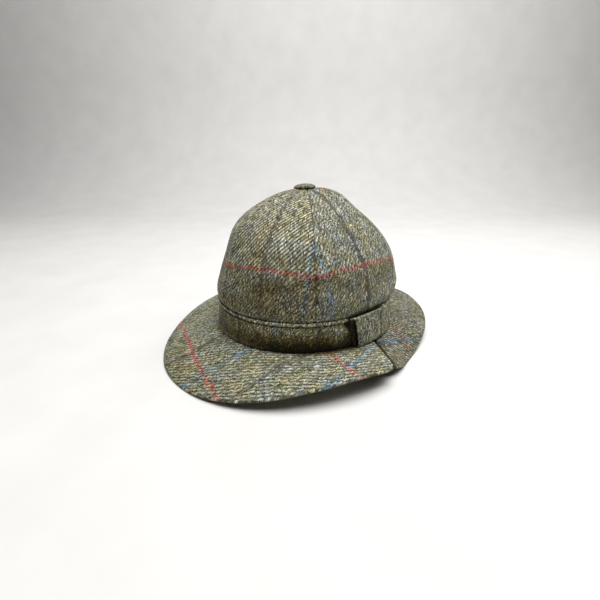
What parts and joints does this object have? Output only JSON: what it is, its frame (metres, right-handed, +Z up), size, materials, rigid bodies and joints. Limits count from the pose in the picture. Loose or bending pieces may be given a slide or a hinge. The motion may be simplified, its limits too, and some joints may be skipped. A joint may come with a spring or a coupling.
{
  "type": "deerstalker hat",
  "caption": "Full-brimmed tweed deerstalker hat: panelled crown with covered button, folded band with loop, and a brim in overlapping halves.",
  "frame": {"origin": "middle of the hat's bounding box in X and Y, on the surface it rests on", "axes": "+Z up through the crown's button, -Y towards the front of the brim, +X towards the wearer's left, where the band's loop is"},
  "size_m": [0.2604, 0.319, 0.1667],
  "materials": {
    "tweed": "rough woven wool, olive green with pale yarn and a red and blue overcheck",
    "band_tweed": "rough woven wool, olive brown"
  },
  "bodies": {
    "root": {"crown_panel_1": "tweed", "crown_panel_2": "tweed", "crown_panel_3": "tweed", "crown_panel_4": "tweed", "crown_panel_5": "tweed", "crown_panel_6": "tweed", "top_button": "tweed", "hat_band": "band_tweed", "band_loop": "tweed", "brim_front": "tweed", "brim_rear": "tweed"}
  },
  "joints": []
}
